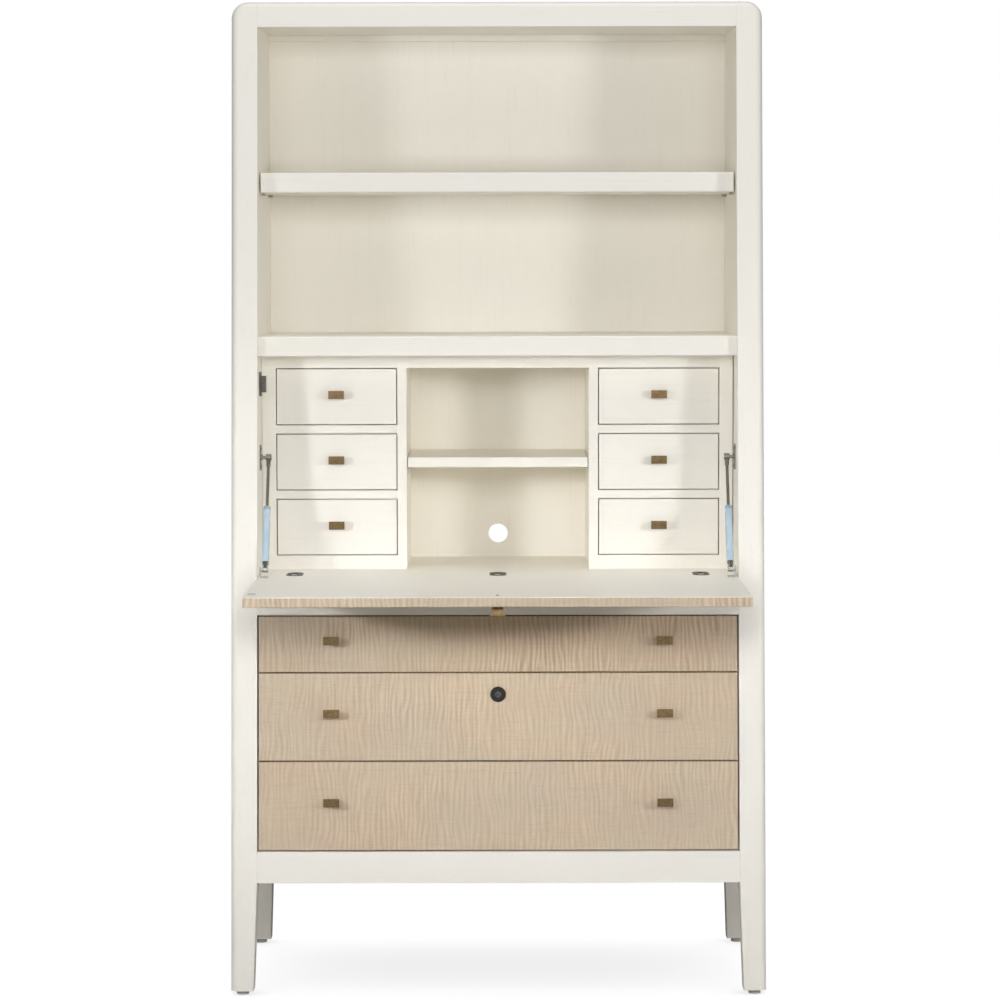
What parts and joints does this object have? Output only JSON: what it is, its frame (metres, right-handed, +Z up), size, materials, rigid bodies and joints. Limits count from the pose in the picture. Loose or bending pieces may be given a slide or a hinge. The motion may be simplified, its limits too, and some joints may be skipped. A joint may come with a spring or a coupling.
{
  "type": "secretary desk",
  "caption": "Tall secretary desk: open bookcase with two shelves above a fall-front desk with small drawers and a cubby, wide drawers below, tapered legs.",
  "frame": {"origin": "on the floor, under the middle of the space that the desk takes up with its leaf open", "axes": "+Z up; -Y towards the user; +X to the user's right"},
  "size_m": [1.04, 0.813, 1.93],
  "materials": {
    "paint": "satin warm white paint",
    "maple": "figured maple veneer, greyed",
    "pale_wood": "clear sealed hardwood",
    "brass": "brushed antique brass",
    "steel": "zinc plated",
    "dark_steel": "dark plated",
    "strut_tube": "pale blue lacquer",
    "glide": "matte"
  },
  "bodies": {
    "case": {"front_stile_left": "paint", "front_stile_right": "paint", "rear_post_left": "paint", "rear_post_right": "paint", "side_panel_left": "paint", "side_panel_right": "paint", "top_panel": "paint", "top_rail": "paint", "back_panel": "paint", "back_cleat": "paint", "adjustable_shelf": "paint", "shelf_pins": "steel", "fixed_shelf": "paint", "desk_floor": "paint", "desk_front_rail": "paint", "organizer_face_frame": "paint", "organizer_partitions": "paint", "cubby_shelf": "paint", "bottom_rail": "paint", "case_rails": "pale_wood", "drawer_tracks": "steel", "foot_glides": "glide", "desk_hinge_cups": "dark_steel", "strut_wall_brackets": "steel", "leaf_catch": "dark_steel"},
    "leaf": {"leaf_panel": "maple", "leaf_pull": "brass", "leaf_hinge_cups": "dark_steel", "leaf_strike": "steel", "strut_leaf_brackets": "steel"},
    "strut_rod_left": {"strut_rod_left": "steel"},
    "strut_tube_left": {"strut_cylinder_left": "strut_tube"},
    "strut_rod_right": {"strut_rod_right": "steel"},
    "strut_tube_right": {"strut_cylinder_right": "strut_tube"},
    "bottom_drawer": {"bottom_drawer_front": "maple", "bottom_drawer_box": "pale_wood", "bottom_drawer_pulls": "brass", "bottom_drawer_runners": "steel"},
    "middle_drawer": {"middle_drawer_front": "maple", "middle_drawer_box": "pale_wood", "middle_drawer_pulls": "brass", "middle_drawer_runners": "steel", "lock_body": "dark_steel"},
    "top_drawer": {"top_drawer_front": "maple", "top_drawer_box": "pale_wood", "top_drawer_pulls": "brass", "top_drawer_runners": "steel"},
    "lock_plug": {"lock_plug": "steel"},
    "small_drawer_left_1": {"small_drawer_left_1": "paint", "small_knob_left_1": "brass"},
    "small_drawer_left_2": {"small_drawer_left_2": "paint", "small_knob_left_2": "brass"},
    "small_drawer_left_3": {"small_drawer_left_3": "paint", "small_knob_left_3": "brass"},
    "small_drawer_right_1": {"small_drawer_right_1": "paint", "small_knob_right_1": "brass"},
    "small_drawer_right_2": {"small_drawer_right_2": "paint", "small_knob_right_2": "brass"},
    "small_drawer_right_3": {"small_drawer_right_3": "paint", "small_knob_right_3": "brass"}
  },
  "joints": [
    {"name": "leaf_fold", "type": "hinge", "parent": "case", "child": "leaf", "pos_m": [0, 0.0185, 0.81], "axis": [1, 0, 0], "range_deg": [-95.27, 0]},
    {"name": "strut_swing_left", "type": "hinge", "parent": "case", "child": "strut_rod_left", "pos_m": [-0.452, 0.0685, 1.037], "axis": [1, 0, 0], "range_deg": [-0.5, 18.35]},
    {"name": "strut_stroke_left", "type": "slide", "parent": "strut_rod_left", "child": "strut_tube_left", "axis": [0, -0.4671, -0.8842], "range_m": [-0.07156, 0.001]},
    {"name": "strut_swing_right", "type": "hinge", "parent": "case", "child": "strut_rod_right", "pos_m": [0.452, 0.0685, 1.037], "axis": [1, 0, 0], "range_deg": [-0.5, 18.35]},
    {"name": "strut_stroke_right", "type": "slide", "parent": "strut_rod_right", "child": "strut_tube_right", "axis": [0, -0.4671, -0.8842], "range_m": [-0.07156, 0.001]},
    {"name": "bottom_drawer_slide", "type": "slide", "parent": "case", "child": "bottom_drawer", "axis": [0, -1, 0], "range_m": [0, 0.33]},
    {"name": "middle_drawer_slide", "type": "slide", "parent": "case", "child": "middle_drawer", "axis": [0, -1, 0], "range_m": [0, 0.33]},
    {"name": "top_drawer_slide", "type": "slide", "parent": "case", "child": "top_drawer", "axis": [0, -1, 0], "range_m": [0, 0.33]},
    {"name": "lock_turn", "type": "hinge", "parent": "middle_drawer", "child": "lock_plug", "pos_m": [0, -0.04492, 0.581], "axis": [0, -0.9958, 0.0918], "range_deg": [0, 90]},
    {"name": "small_drawer_left_1_slide", "type": "slide", "parent": "case", "child": "small_drawer_left_1", "axis": [0, -1, 0], "range_m": [0, 0.18]},
    {"name": "small_drawer_left_2_slide", "type": "slide", "parent": "case", "child": "small_drawer_left_2", "axis": [0, -1, 0], "range_m": [0, 0.18]},
    {"name": "small_drawer_left_3_slide", "type": "slide", "parent": "case", "child": "small_drawer_left_3", "axis": [0, -1, 0], "range_m": [0, 0.18]},
    {"name": "small_drawer_right_1_slide", "type": "slide", "parent": "case", "child": "small_drawer_right_1", "axis": [0, -1, 0], "range_m": [0, 0.18]},
    {"name": "small_drawer_right_2_slide", "type": "slide", "parent": "case", "child": "small_drawer_right_2", "axis": [0, -1, 0], "range_m": [0, 0.18]},
    {"name": "small_drawer_right_3_slide", "type": "slide", "parent": "case", "child": "small_drawer_right_3", "axis": [0, -1, 0], "range_m": [0, 0.18]}
  ],
  "couplings": [
    {"joint": "strut_swing_left", "follows": "leaf_fold", "ratio": -0.18739},
    {"joint": "strut_stroke_left", "follows": "leaf_fold", "m_per_rad": 0.042434},
    {"joint": "strut_swing_right", "follows": "leaf_fold", "ratio": -0.18739},
    {"joint": "strut_stroke_right", "follows": "leaf_fold", "m_per_rad": 0.042434}
  ]
}
